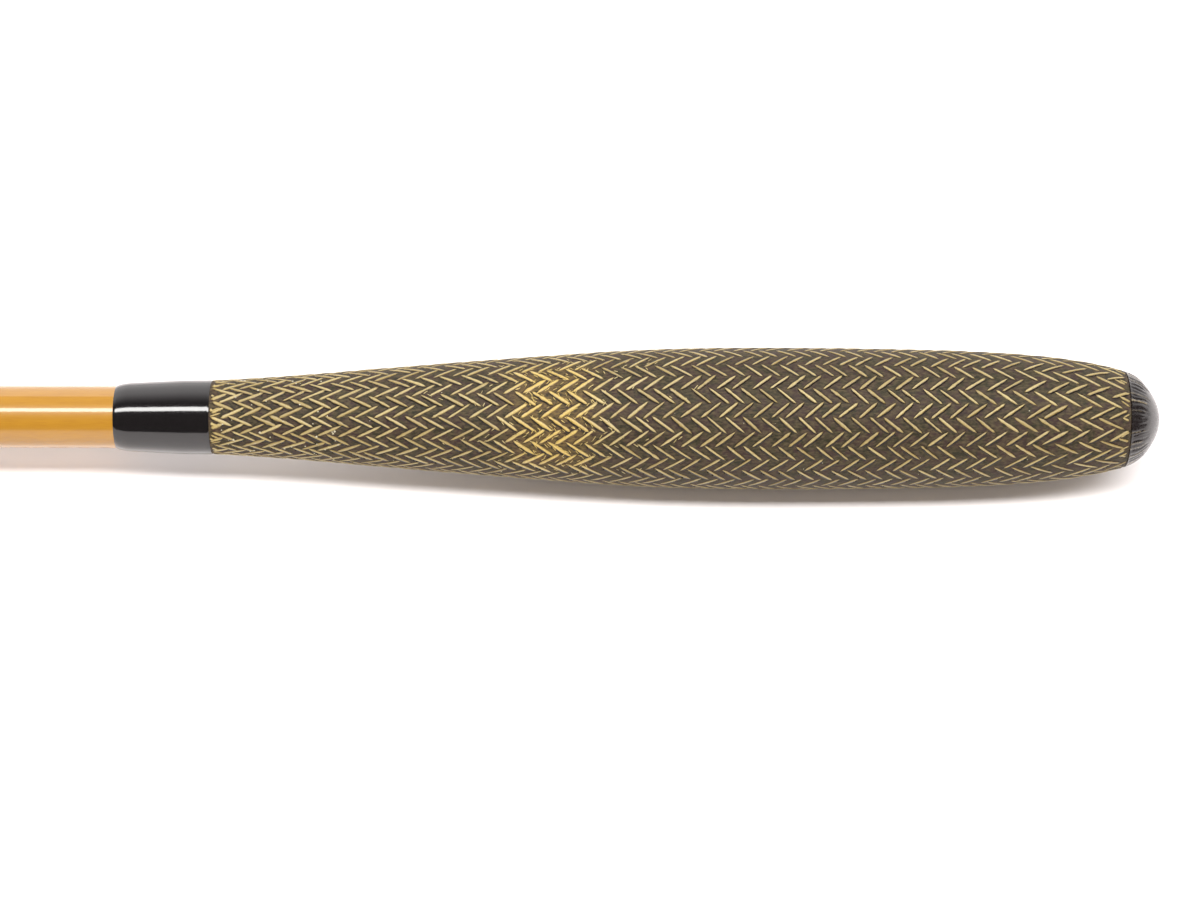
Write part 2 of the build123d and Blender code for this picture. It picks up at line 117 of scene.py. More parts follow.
grip_rear, grip_front = stations("braid_sleeve")
print("braid from", round(grip_rear, 2), "to", round(grip_front, 2))

# %% [markdown]
# ## Turning a mesh on the axis
# A lathe turns an outline into a solid. A Screw modifier could do it, but ribs and thread ridges need
# each vertex to have its own radius. So the rings are made with numpy, and a relief function may
# raise or sink each point. The angle is counted from the side that faces the camera towards the top
# of the view, which makes it easy to say where the worn patch of the braid lies.

# %% Camera direction and angles round the rod
ELEVATION = math.radians(50)
TOWARDS = np.array([0.0, -math.cos(ELEVATION), math.sin(ELEVATION)])
UPWARDS = np.array([0.0, math.sin(ELEVATION), math.cos(ELEVATION)])


def place(station, angle, radius):
    """Points in metres from stations, angles in radians and radii, in millimetres."""
    station, angle, radius = np.broadcast_arrays(station, angle, radius)
    spoke = np.cos(angle)[..., None] * TOWARDS + np.sin(angle)[..., None] * UPWARDS
    points = spoke * radius[..., None]
    points[..., 0] += BUTT_X - station
    points[..., 1] += AXIS_Y
    points[..., 2] += AXIS_Z
    return points * MM


def where_on_rod(piece):
    """The station and the angle of each of a piece's points."""
    spots = np.array([v.co for v in piece.data.vertices]) / MM - [0, AXIS_Y, AXIS_Z]
    return BUTT_X - spots[:, 0], np.arctan2(spots @ UPWARDS, spots @ TOWARDS)


def within_half_turn(angle):
    """The same angle, counted between minus and plus half a turn."""
    return (angle + math.pi) % (2 * math.pi) - math.pi


print("towards the camera:", TOWARDS.round(3), "up the view:", UPWARDS.round(3))

# %% Making meshes
SHARP = math.radians(40)
NEVER_SHARP = math.radians(180)


def make_piece(name, points, faces, materials, slots=None, sharp=SHARP):
    """An object from points and faces, outward normals, smooth but for its sharp edges."""
    mesh = bpy.data.meshes.new(name)
    mesh.from_pydata([tuple(p) for p in points], [], faces)
    for material in materials:
        mesh.materials.append(material)
    if slots is not None:
        mesh.polygons.foreach_set("material_index", slots)
    shape = bmesh.new()
    shape.from_mesh(mesh)
    bmesh.ops.recalc_face_normals(shape, faces=shape.faces)
    shape.to_mesh(mesh)
    shape.free()
    mesh.polygons.foreach_set("use_smooth", [True] * len(mesh.polygons))
    mesh.set_sharp_from_angle(angle=sharp)
    piece = bpy.data.objects.new(name, mesh)
    bpy.context.scene.collection.objects.link(piece)
    print(name, "faces:", len(faces))
    return piece


def ring_faces(rings, around, closed):
    """Quads between rings of points, the last ring joined to the first when closed."""
    faces = []
    for i in range(rings if closed else rings - 1):
        a, b = i * around, (i + 1) % rings * around
        for j in range(around):
            k = (j + 1) % around
            faces.append((a + j, a + k, b + k, b + j))
    return faces


def turned(name, outline, material, around, relief=None, sharp=SHARP):
    """A piece turned from (station, radius) points: a closed loop, or two ends on the axis."""
    outline = np.array(outline, float)
    poles = outline[0][1] == 0 and outline[-1][1] == 0
    body = outline[1:-1] if poles else outline
    angle = np.arange(around) * 2 * math.pi / around
    s, r = body[:, :1], np.repeat(body[:, 1:], around, 1)
    if relief is not None:
        r = r + relief(np.repeat(s, around, 1), np.broadcast_to(angle, r.shape), r)
    points = list(place(s, angle, r).reshape(-1, 3))
    faces = ring_faces(len(body), around, not poles)
    if poles:
        for end, ring in ((0, 0), (-1, len(body) - 1)):
            points.append(place(outline[end][0], 0.0, 0.0))
            tip = len(points) - 1
            for j in range(around):
                faces.append((tip, ring * around + j, ring * around + (j + 1) % around))
    return make_piece(name, points, faces, [material], sharp=sharp)


def store(piece, name, values):
    """Keeps one number for each point of a piece, which its material can read by name."""
    numbers = piece.data.attributes.new(name, "FLOAT", "POINT")
    numbers.data.foreach_set("value", values)


def settle(piece, body, slot, *replaced):
    """Hangs a finished piece on the body it rides on and hides the CAD pieces it stands for; slot, its
    finish in the record, is not used.
    """
    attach(piece, body)
    if replaced:
        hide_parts(*replaced)


# %% [markdown]
# ## Colours and nodes
# Hex colours are sRGB, as a colour picker shows them, but the renderer works in linear light, so one
# function converts them. One other function adds any node: settings of the node itself go in a
# dictionary, and inputs are named words, whose value is a number or another node's output.

# %% Helpers for materials
def linear(hex_colour):
    """Linear RGBA from an sRGB hex colour."""
    out = []
    for i in (1, 3, 5):
        c = int(hex_colour[i:i + 2], 16) / 255
        out.append(c / 12.92 if c <= 0.04045 else ((c + 0.055) / 1.055) ** 2.4)
    return (*out, 1.0)


def add_node(tree, kind, props=None, **inputs):
    """A node with its settings, and its inputs set or linked. Spaces in names are underscores."""
    node = tree.nodes.new(kind)
    for name, value in (props or {}).items():
        setattr(node, name, value)
    sockets = {}
    for socket in node.inputs:
        sockets.setdefault(socket.name.replace(" ", "_"), socket)
        sockets[socket.identifier.replace(" ", "_")] = socket
    for name, value in inputs.items():
        if isinstance(value, bpy.types.NodeSocket):
            tree.links.new(value, sockets[name])
        else:
            sockets[name].default_value = value
    return node


def new_finish(name, **settings):
    """A material with one Principled shader, and the coordinates that its patterns use."""
    material = bpy.data.materials.new(name)
    material.use_nodes = True
    tree = material.node_tree
    tree.nodes.clear()
    where = add_node(tree, "ShaderNodeTexCoord").outputs["Object"]
    shader = add_node(tree, "ShaderNodeBsdfPrincipled", **settings)
    add_node(tree, "ShaderNodeOutputMaterial", Surface=shader.outputs["BSDF"])
    print("finish:", name)
    return material, tree, shader, where


def per_metre(size_mm):
    """How often a pattern of this size repeats in a metre, which is a texture's scale."""
    return 1 / (size_mm * MM)


def drawn_out(length_mm, width_mm):
    """The scale of a pattern that is longer along the rod than it is wide."""
    return per_metre(length_mm), per_metre(width_mm), per_metre(width_mm)


def bands(spacing_mm):
    """The scale of a Wave texture whose bands lie this far apart: its own rate is 20 radians."""
    return per_metre(spacing_mm) * 2 * math.pi / 20


# %% [markdown]
# ## The camera
# The rod lies on a table and is looked at from the side and above, 50 degrees over the table, from
# about 0.6 m. A 93 mm lens at that distance takes in 240 mm of the rod: the grip and a bit of blank.
# The rod sits a little above the middle of the view, and the camera is rolled by a tenth of a degree.

# %% Camera
VIEW_DISTANCE = 0.62
VIEW_WIDTH = 0.24
SENSOR = 36
VIEW_X = 138.25
VIEW_DROP = 6.4
VIEW_ROLL = math.radians(0.12)
NEAREST_SEEN = 0.01

camera_data = bpy.data.cameras.new("camera")
camera_data.sensor_width = SENSOR
camera_data.lens = SENSOR * VIEW_DISTANCE / VIEW_WIDTH
camera_data.clip_start = NEAREST_SEEN
camera = bpy.data.objects.new("camera", camera_data)
bpy.context.scene.collection.objects.link(camera)
aim = np.array([VIEW_X, AXIS_Y, AXIS_Z]) * MM - UPWARDS * VIEW_DROP * MM
camera.location = aim + TOWARDS * VIEW_DISTANCE
camera.rotation_euler = (math.pi / 2 - ELEVATION, 0, 0)
camera.rotation_euler.rotate_axis("Z", VIEW_ROLL)
bpy.context.scene.camera = camera
print("camera at", tuple(round(c, 3) for c in camera.location), "lens", round(camera_data.lens, 1))

# %% [markdown]
# ## Floor and light
# A product table is a white sheet under one long strip softbox, hung almost straight overhead, with
# a bright wall behind. Glossy lacquer shows exactly that: one thin white line from the strip, grey
# edges from the wall and the sheet, and black between. The wall is made in the world's shader by
# direction, so that no wall stands in the way of a view from behind.

# %% Floor
HALF_FLOOR = 12.0
FLOOR_GAP = 0.0002
floor_mesh = bpy.data.meshes.new("floor")
corners = [(-HALF_FLOOR, -HALF_FLOOR, 0), (HALF_FLOOR, -HALF_FLOOR, 0),
           (HALF_FLOOR, HALF_FLOOR, 0), (-HALF_FLOOR, HALF_FLOOR, 0)]
floor_mesh.from_pydata(corners, [], [(0, 1, 2, 3)])
floor = bpy.data.objects.new("floor", floor_mesh)
floor.location.z = cad_box[0][2] - FLOOR_GAP
bpy.context.scene.collection.objects.link(floor)
# Coated white paper: matt, a trace of warm tint, and fine enough to show no grain from here.
paper, tree, shader, where = new_finish("white_paper", Roughness=0.7, Base_Color=linear("#f4f1f2"))
floor_mesh.materials.append(paper)

# %% Strip softbox and fill panel
# The fill is a large pale panel at the front that softens the shadow under the rod. It lights matt
# surfaces only, so that the lacquer keeps its black between the strip and the sheet.
STRIP_SIZE = (2.0, 0.2)
STRIP_DISTANCE = 0.9
STRIP_ELEVATION = math.radians(75)
STRIP_RADIANCE = 12.5
FILL_SIZE = (2.0, 1.5)
FILL_DISTANCE = 1.5
FILL_ELEVATION = math.radians(35)
FILL_RADIANCE = 0.8
WATTS_PER_RADIANCE = 4  # of an area light, for each square metre


def hang_light(name, size, distance, elevation, radiance, colour):
    """A rectangular light on the camera's side of the rod, turned to face it."""
    data = bpy.data.lights.new(name, "AREA")
    data.shape = "RECTANGLE"
    data.size, data.size_y = size
    data.energy = radiance * WATTS_PER_RADIANCE * size[0] * size[1]
    data.color = linear(colour)[:3]
    light = bpy.data.objects.new(name, data)
    way = Vector((0, -math.cos(elevation), math.sin(elevation)))
    light.location = Vector((VIEW_X, AXIS_Y, AXIS_Z)) * MM + way * distance
    light.rotation_euler = (math.pi / 2 - elevation, 0, 0)
    light.visible_camera = False
    bpy.context.scene.collection.objects.link(light)
    print(name, "power:", round(data.energy, 1), "W")
    return light


hang_light("strip_softbox", STRIP_SIZE, STRIP_DISTANCE, STRIP_ELEVATION, STRIP_RADIANCE, "#fffdfb")
fill = hang_light("fill_panel", FILL_SIZE, FILL_DISTANCE, FILL_ELEVATION, FILL_RADIANCE, "#fff0e2")
fill.visible_glossy = False

# %% World: a bright wall behind, dark towards the camera
WALL_TOP = math.radians(64)
WALL_SOFT = math.radians(24)
WALL_RADIANCE = 1.6
ROOM_RADIANCE = 0.09
world = bpy.data.worlds.new("studio")
bpy.context.scene.world = world
world.use_nodes = True
tree = world.node_tree
tree.nodes.clear()
way = add_node(tree, "ShaderNodeTexCoord").outputs["Generated"]
parts = add_node(tree, "ShaderNodeSeparateXYZ", Vector=way)
tilt = add_node(tree, "ShaderNodeMath", {"operation": "ARCTAN2"},
                Value=parts.outputs["Z"], Value_001=parts.outputs["Y"])
glow = add_node(tree, "ShaderNodeMapRange", {"interpolation_type": "SMOOTHSTEP"},
                Value=tilt.outputs[0], From_Min=WALL_TOP - WALL_SOFT, From_Max=WALL_TOP + WALL_SOFT,
                To_Min=WALL_RADIANCE, To_Max=ROOM_RADIANCE)
lit = add_node(tree, "ShaderNodeBackground", Color=linear("#fffbfa"), Strength=glow.outputs[0])
seen = add_node(tree, "ShaderNodeBackground", Color=linear("#f6f4f5"), Strength=1.0)
ray = add_node(tree, "ShaderNodeLightPath")
both = add_node(tree, "ShaderNodeMixShader", Fac=ray.outputs["Is Camera Ray"],
                Shader=lit.outputs[0], Shader_001=seen.outputs[0])
add_node(tree, "ShaderNodeOutputWorld", Surface=both.outputs[0])
bpy.context.scene.view_settings.view_transform = "Standard"
print("wall radiance:", WALL_RADIANCE, "room:", ROOM_RADIANCE)

# %% [markdown]
# ## Amber lacquer on the butt blank
# The blank is a carbon tube, sprayed with a yellow-brown base coat and several clear polyester coats,
# then polished. So: a warm solid colour, a clear coat as smooth as glass, IOR 1.5, and a faint
# cloudiness along the tube, where the coats ran as it turned. The clouds are noise stretched along X.

# %% Amber lacquer
amber, tree, shader, where = new_finish(
    "amber_polyester_lacquer", Roughness=0.35, IOR=1.5, Coat_Weight=0.8, Coat_Roughness=0.025)
long_way = add_node(tree, "ShaderNodeMapping", Vector=where, Scale=drawn_out(9, 1.1))
clouds = add_node(tree, "ShaderNodeTexNoise", Vector=long_way.outputs[0], Scale=1.0, Detail=3.0)
fine_way = add_node(tree, "ShaderNodeMapping", Vector=where, Scale=drawn_out(2.5, 0.25))
grain = add_node(tree, "ShaderNodeTexNoise", Vector=fine_way.outputs[0], Scale=1.0, Detail=2.0)
base = add_node(tree, "ShaderNodeMix", {"data_type": "RGBA"}, Factor_Float=clouds.outputs[0],
                A_Color=linear("#996b12"), B_Color=linear("#a97a1b"))
fleck = add_node(tree, "ShaderNodeMapRange", Value=grain.outputs[0], From_Min=0.45, From_Max=0.8,
                 To_Min=0.0, To_Max=0.35)
colour = add_node(tree, "ShaderNodeMix", {"data_type": "RGBA"}, Factor_Float=fleck.outputs[0],
                  A_Color=base.outputs["Result"], B_Color=linear("#8f5c14"))
tree.links.new(colour.outputs["Result"], shader.inputs["Base Color"])

# %% [markdown]
# ## Black lacquer
# Collar and wraps are finished in black lacquer, built up coat by coat with a brush: a dense black
# that is glossy and slightly wavy. The waves are a very low bump of noise, 2.5 mm long.

# %% Black lacquer
black, tree, shader, where = new_finish(
    "black_brushed_lacquer", Roughness=0.12, IOR=1.5, Coat_Weight=0.45, Coat_Roughness=0.04)
waves = add_node(tree, "ShaderNodeTexNoise", Vector=where, Scale=per_metre(2.5), Detail=2.0)
dust = add_node(tree, "ShaderNodeTexNoise", Vector=where, Scale=per_metre(0.3), Detail=3.0)
colour = add_node(tree, "ShaderNodeMix", {"data_type": "RGBA"}, Factor_Float=dust.outputs[0],
                  A_Color=linear("#0b0a0b"), B_Color=linear("#171415"))
tree.links.new(colour.outputs["Result"], shader.inputs["Base Color"])
gloss = add_node(tree, "ShaderNodeMapRange", Value=dust.outputs[0], From_Min=0.3, From_Max=0.7,
                 To_Min=0.08, To_Max=0.16)
tree.links.new(gloss.outputs[0], shader.inputs["Roughness"])
swell = add_node(tree, "ShaderNodeBump", Strength=0.25, Distance=0.00006,
                 Height=waves.outputs[0])
tree.links.new(swell.outputs[0], shader.inputs["Normal"])

# %% [markdown]
# ## Lacquered braid: the ground
# The grip is a braided sleeve of brown and gold cords, soaked with resin, painted dark and rubbed
# back, so that the gold shows only on the tops of the strands. The ground is a satin brown-grey with
# patches of olive and of purple, about as large as one strand, and a fine dusty grit on top.

# %% Braid ground
ground, tree, shader, where = new_finish(
    "resin_soaked_braid", Roughness=0.62, IOR=1.5, Specular_IOR_Level=0.25)
patch = add_node(tree, "ShaderNodeTexNoise", Vector=where, Scale=per_metre(2.2), Detail=2.0)
cord_way = add_node(tree, "ShaderNodeMapping", Vector=where, Scale=drawn_out(1.1, 0.45))
streak = add_node(tree, "ShaderNodeTexNoise", Vector=cord_way.outputs[0], Scale=1.0, Detail=4.0,
                  Roughness=0.65)
split = add_node(tree, "ShaderNodeMapRange", Value=patch.outputs[0], From_Min=0.44, From_Max=0.56)
hue = add_node(tree, "ShaderNodeMix", {"data_type": "RGBA"}, Factor_Float=split.outputs[0],
               A_Color=linear("#232010"), B_Color=linear("#2f201d"))
shade = add_node(tree, "ShaderNodeMapRange", Value=streak.outputs[0], From_Min=0.4, From_Max=0.68)
shaded = add_node(tree, "ShaderNodeMix", {"data_type": "RGBA"}, Factor_Float=shade.outputs[0],
                  A_Color=hue.outputs["Result"], B_Color=linear("#4e4431"))
wear = add_node(tree, "ShaderNodeAttribute", {"attribute_name": "wear"})
scuff = add_node(tree, "ShaderNodeMapRange", Value=streak.outputs[0], From_Min=0.35, From_Max=0.7,
                 To_Min=0.0, To_Max=0.8)
rubbed = add_node(tree, "ShaderNodeMath", {"operation": "MULTIPLY"}, Value=wear.outputs["Fac"],
                  Value_001=scuff.outputs[0])
colour = add_node(tree, "ShaderNodeMix", {"data_type": "RGBA"}, Factor_Float=rubbed.outputs[0],
                  A_Color=shaded.outputs["Result"], B_Color=linear("#6f5a32"))
tree.links.new(colour.outputs["Result"], shader.inputs["Base Color"])
grit = add_node(tree, "ShaderNodeTexNoise", Vector=where, Scale=per_metre(0.22), Detail=3.0)
relief = add_node(tree, "ShaderNodeBump", Strength=0.8, Distance=0.00012, Height=grit.outputs[0])
tree.links.new(relief.outputs[0], shader.inputs["Normal"])
rough = add_node(tree, "ShaderNodeMapRange", Value=streak.outputs[0], From_Min=0.3, From_Max=0.7,
                 To_Min=0.5, To_Max=0.75)
tree.links.new(rough.outputs[0], shader.inputs["Roughness"])

# %% Gold strand
# Polyester cord in old gold, its top rubbed through the paint. Its fibres are 0.02 mm thick and are
# drawn 0.2 mm apart to show. Each strand is a little lighter or darker than the next (tone), dark
# along its edge (edge), and yellower where hands have rubbed it (wear).
gold, tree, shader, where = new_finish(
    "rubbed_gold_cord", Roughness=0.45, IOR=1.5, Coat_Weight=0.1, Coat_Roughness=0.3)
tone = add_node(tree, "ShaderNodeAttribute", {"attribute_name": "tone"})
edge = add_node(tree, "ShaderNodeAttribute", {"attribute_name": "edge"})
fibre = add_node(tree, "ShaderNodeTexNoise", Vector=where, Scale=per_metre(0.2), Detail=3.0)
lift = add_node(tree, "ShaderNodeMix", {"data_type": "RGBA"}, Factor_Float=tone.outputs["Fac"],
                A_Color=linear("#8a7945"), B_Color=linear("#cbbd89"))
rub = add_node(tree, "ShaderNodeMapRange", Value=fibre.outputs[0], From_Min=0.35, From_Max=0.65,
               To_Min=0.0, To_Max=0.45)
wear = add_node(tree, "ShaderNodeAttribute", {"attribute_name": "wear"})
part_worn = add_node(tree, "ShaderNodeMath", {"operation": "MULTIPLY"}, Value=wear.outputs["Fac"],
                     Value_001=0.8)
yellowed = add_node(tree, "ShaderNodeMix", {"data_type": "RGBA"},
                    Factor_Float=part_worn.outputs[0],
                    A_Color=lift.outputs["Result"], B_Color=linear("#c9ac55"))
fibred = add_node(tree, "ShaderNodeMix", {"data_type": "RGBA"}, Factor_Float=rub.outputs[0],
                  A_Color=yellowed.outputs["Result"], B_Color=linear("#75602f"))
border = add_node(tree, "ShaderNodeMath", {"operation": "POWER"}, Value=edge.outputs["Fac"],
                  Value_001=2.0)
colour = add_node(tree, "ShaderNodeMix", {"data_type": "RGBA"}, Factor_Float=border.outputs[0],
                  A_Color=fibred.outputs["Result"], B_Color=linear("#6b5426"))
tree.links.new(colour.outputs["Result"], shader.inputs["Base Color"])
relief = add_node(tree, "ShaderNodeBump", Strength=0.5, Distance=0.00005, Height=fibre.outputs[0])
tree.links.new(relief.outputs[0], shader.inputs["Normal"])

# %% Painted shadow beside the strands
# A near-black, slightly glossy rim beside each strand is painted shadow: the shade that falls in the
# gap beside it.
painted_shadow_rims, tree, shader, where = new_finish("dark_paint_in_grooves", Roughness=0.4, IOR=1.5)
rim_mottle = add_node(tree, "ShaderNodeTexNoise", Vector=where, Scale=per_metre(0.4), Detail=2.0)
colour = add_node(tree, "ShaderNodeMix", {"data_type": "RGBA"}, Factor_Float=rim_mottle.outputs[0],
                  A_Color=linear("#0a0603"), B_Color=linear("#1a1108"))
tree.links.new(colour.outputs["Result"], shader.inputs["Base Color"])

# %% [markdown]
# ## The braid's order
# A herringbone braid is rows of slanting strands that lean one way, then the other. Here 30 rows run
# along the grip, 12 degrees each. Drawing it as a picture would leave the grip flat, and simulating
# yarn would be slow. Each strand's top is made instead as its own thin lens of mesh, lying between
# two dark rims of painted shadow. The pitch along the grip is not even: the braid is drawn out on the
# thin part and at the butt, so a table gives it by station, and its running sum places the strands.

# %% Rows and pitch
ROWS = 30
ROW_ANGLE = 2 * math.pi / ROWS
STRAND_SPAN = 1.06  # across its row, as a part of the row
STRAND_REACH = 1.03  # along the grip, as a part of the pitch
GROUND_DROP = 0.14  # of the sleeve below the grip's outside
END_GAP = 0.05
PITCH_AT = [0, 12, 22, 32, 42, 80, 120, 160, 185, 200]
PITCH = [4.4, 4.4, 4.4, 3.9, 3.55, 3.45, 3.45, 3.75, 4.0, 4.1]

fine = np.linspace(0, PITCH_AT[-1], 2001)
pitch_there = np.interp((fine[1:] + fine[:-1]) / 2, PITCH_AT, PITCH)
count_at = np.concatenate([[0], np.cumsum(np.diff(fine) / pitch_there)])
probe = np.linspace(grip_rear + END_GAP, grip_front - END_GAP, 240)
grip_radius = radii("braid_sleeve", probe)
grip_bore = radii("braid_sleeve", probe, inside=True)
print("grip radius from", round(float(np.nanmin(grip_radius)), 2), "to",
      round(float(np.nanmax(grip_radius)), 2), "rows hold", round(float(count_at[-1]), 1))


def over_grip(station):
    """The grip's outer radius at a station."""
    return np.interp(station, probe, grip_radius)


def count_of(station):
    """Strands passed by this station, in a row."""
    return np.interp(station, fine, count_at)


def station_of(count):
    """The station where this many strands have passed."""
    return np.interp(count, count_at, fine)


WORN_STATION = 121.0
WORN_HALF_LENGTH = 8.5
WORN_HALF_ANGLE = math.radians(62)
WORN_FADE = math.radians(20)
COLLAR_WEAR = 0.25
COLLAR_WEAR_FROM = grip_front - 2.4
COLLAR_WEAR_FADE = 0.8


def worn(station, angle):
    """How far the paint is rubbed off, from 0 to 1: where the fingers close, and at the collar."""
    along = np.exp(-((station - WORN_STATION) / WORN_HALF_LENGTH) ** 4)
    turn = np.abs(within_half_turn(angle))
    patch = along * np.clip((WORN_HALF_ANGLE - turn) / WORN_FADE, 0, 1)
    near = np.clip((station - COLLAR_WEAR_FROM) / COLLAR_WEAR_FADE, 0, 1)
    return np.maximum(patch, COLLAR_WEAR * near)


# %% Ground sleeve
# No cord lies at its even place, so each is shifted by a part of the pitch.
SHIFT = 0.13
CORD_SWELL, CORD_SINK = 0.05, 0.03
SLEEVE_AROUND = 240
SLEEVE_RINGS = 420
SLEEVE_RIM = 0.02

rng = np.random.default_rng(7)
STRANDS = int(count_at[-1]) + 3
shift = rng.uniform(-SHIFT, SHIFT, (ROWS, STRANDS))


def ground_relief(station, angle):
    """Soft swelling of the cords between two strands, in millimetres."""
    row = np.floor(angle / ROW_ANGLE).astype(int) % ROWS
    across = (angle / ROW_ANGLE) % 1 - 0.5
    lean = np.where(row % 2 == 0, -1.0, 1.0)
    phase = count_of(station) - lean * across * STRAND_REACH - 0.5 * (row % 2)
    near = np.round(phase)
    phase = phase - near - shift[row, near.astype(int) % STRANDS]
    return CORD_SWELL * (1 - np.cos(2 * math.pi * phase)) / 2 - CORD_SINK


dense = np.linspace(probe[0], probe[-1], SLEEVE_RINGS)
outer_line = [(s, over_grip(s) - GROUND_DROP) for s in dense]
inner_line = list(zip(probe[::-8], grip_bore[::-8]))


def sleeve_relief(station, angle, radius):
    """Relief on the outside of the sleeve only."""
    out = ground_relief(station, angle)
    out[SLEEVE_RINGS:] = 0
    ends = np.minimum(station - probe[0], probe[-1] - station)
    return np.where(ends < SLEEVE_RIM, np.minimum(out, 0), out)


sleeve = turned("braid_ground", outer_line + inner_line, ground, SLEEVE_AROUND, sleeve_relief)
store(sleeve, "wear", worn(*where_on_rod(sleeve)))
settle(sleeve, "handle", "lacquered_braid", "braid_sleeve")

# %% [markdown]
# ## One strand
# A strand's top is a lens: blunt ends, widest in the middle, its crest round. Its cross-section has
# eight points: a dark rim of painted shadow on each side, two edges, three on the crest and one
# buried below. The painted shadow rim is wider on the strand's lower side, where the shade beside it
# falls.

# %% Shape of a strand
CROSS = np.array([-1.0, -0.62, 0.0, 0.62, 1.0])
CROSS_HEIGHT = np.array([0.02, 0.78, 1.0, 0.78, 0.02])
# The dark rims beside a strand are painted shadow, wider on its lower side, where shade falls.
SHADOW_RIM_HEIGHT = 0.048
SHADOW_RIM_WIDTHS = (0.32, 0.15)  # on the lower and the upper side
BURIED = -0.05
RINGS = 7
WIDTH_NOISE = 0.144
SKEW = 0.2  # of the widest place, off the middle
BLUNTNESS, ROUNDNESS = 4.0, 0.65
TIP_WIDTH, TIP_HEIGHT, TIP_SHADOW_RIM = 0.04, 0.25, 0.3  # as parts of the middle's
TIP_RISE = 0.004
GOLD_SLOT, SHADOW_RIM_SLOT = 0, 1
STRAND_FROM, STRAND_TO = grip_rear + 0.12, grip_front - 0.1
POINTS_FROM, POINTS_TO = grip_rear + 0.06, grip_front - 0.04
strand_points, strand_faces, strand_slots = [], [], []
strand_tone, strand_edge, strand_wear = [], [], []


def add_strand(count, row, reach, span, width, height, tone, middle=0.5, shadow_rim=SHADOW_RIM_WIDTHS):
    """Adds one strand top to the lists; it lies at a middle between its row's two borders."""
    lean = -1.0 if row % 2 == 0 else 1.0
    t = np.linspace(0, 1, RINGS + 2)
    angle = (row + middle + (t - 0.5) * span) * ROW_ANGLE
    here = station_of(count + lean * (t - 0.5) * reach)
    inside = (here > STRAND_FROM) & (here < STRAND_TO)
    if inside.sum() < 2:
        return
    if not inside.all():
        first, last = t[inside][0], t[inside][-1]
        t = np.linspace(first, last, RINGS + 2)
        angle = (row + middle + (t - 0.5) * span) * ROW_ANGLE
        here = station_of(count + lean * (t - 0.5) * reach)
    wobble = rng.normal(0, WIDTH_NOISE, RINGS + 2)
    skewed = 2 * t - 1 + rng.uniform(-SKEW, SKEW) * (1 - (2 * t - 1) ** 2)
    full = np.clip(1 - np.abs(skewed) ** BLUNTNESS, 0, 1) ** ROUNDNESS
    half = width / 2 * (full * (1 + wobble) + TIP_WIDTH)
    radius = over_grip(here) - GROUND_DROP + ground_relief(here, angle)
    dx = np.gradient(here)
    dy = np.gradient(angle) * radius
    step = np.hypot(dx, dy)
    side_s, side_a = -dy / step, dx / step
    if (side_a < 0).any():
        side_s, side_a = -side_s, -side_a
    offsets = [half * c for c in CROSS]
    heights = [height * (TIP_HEIGHT + (1 - TIP_HEIGHT) * full) * c for c in CROSS_HEIGHT]
    # A rim of painted shadow on each side of the strand, the lower one wider.
    low_shadow_rim = -half - shadow_rim[0] * (TIP_SHADOW_RIM + (1 - TIP_SHADOW_RIM) * full)
    high_shadow_rim = half + shadow_rim[1] * (TIP_SHADOW_RIM + (1 - TIP_SHADOW_RIM) * full)
    rows_off = [low_shadow_rim] + offsets + [high_shadow_rim] + [0 * half]
    shadow_rim_up = np.full_like(half, SHADOW_RIM_HEIGHT)
    rows_high = [shadow_rim_up] + heights + [shadow_rim_up] + [np.full_like(half, BURIED)]
    start = len(strand_points)
    for i in range(1, RINGS + 1):
        for off, up in zip(rows_off, rows_high):
            s = here[i] + side_s[i] * off[i]
            a = angle[i] + side_a[i] * off[i] / radius[i]
            s = min(max(s, POINTS_FROM), POINTS_TO)
            strand_points.append(place(s, a, radius[i] + up[i]))
            strand_edge.append(min(abs(off[i]) / half[i], 1.0))
            strand_tone.append(tone)
            strand_wear.append(float(worn(s, a)))
    n = len(rows_off)
    # The crest takes the gold, and the two rims take the painted shadow.
    side_slots = [GOLD_SLOT if 1 <= j <= len(CROSS) - 1 else SHADOW_RIM_SLOT for j in range(n)]
    for i in range(RINGS - 1):
        a, b = start + i * n, start + (i + 1) * n
        for j in range(n):
            k = (j + 1) % n
            strand_faces.append((a + j, a + k, b + k, b + j))
        strand_slots.extend(side_slots)
    for i, ring in ((0, 0), (RINGS + 1, RINGS - 1)):
        strand_points.append(place(here[i], angle[i], radius[i] + TIP_RISE))
        strand_edge.append(1.0)
        strand_tone.append(tone)
        strand_wear.append(float(worn(here[i], angle[i])))
        tip = len(strand_points) - 1
        a = start + ring * n
        for j in range(n):
            strand_faces.append((tip, a + j, a + (j + 1) % n))
        strand_slots.extend(side_slots)


def finish_strands(name):
    """Makes the gathered strands one piece and empties the lists."""
    piece = make_piece(name, strand_points, strand_faces, [gold, painted_shadow_rims], strand_slots,
                       sharp=NEVER_SHARP)
    store(piece, "tone", strand_tone)
    store(piece, "edge", strand_edge)
    store(piece, "wear", strand_wear)
    for gathered in (strand_points, strand_faces, strand_slots, strand_tone, strand_edge,
                     strand_wear):
        gathered.clear()
    settle(piece, "handle", "lacquered_braid")


# %% All strands of the braid
# Tables by station: a strand's width in millimetres, and how much further than usual it reaches
# along the grip (longer) and across its row (wider).
WIDTH_AT = [7, 30, 80, 110, 150, 172, 189]
WIDTH = [0.56, 0.5, 0.49, 0.54, 0.54, 0.58, 0.6]
LONGER_AT = [7, 32, 75, 100, 150, 180]
LONGER = [1.3, 1.12, 1.1, 1.32, 1.32, 1.28]
WIDER_AT = [7, 32, 75, 100, 150, 178]
WIDER = [1.16, 1.08, 1.06, 1.15, 1.16, 1.3]
WORN_GAIN = 0.35  # in width and in paleness, where the strand is rubbed

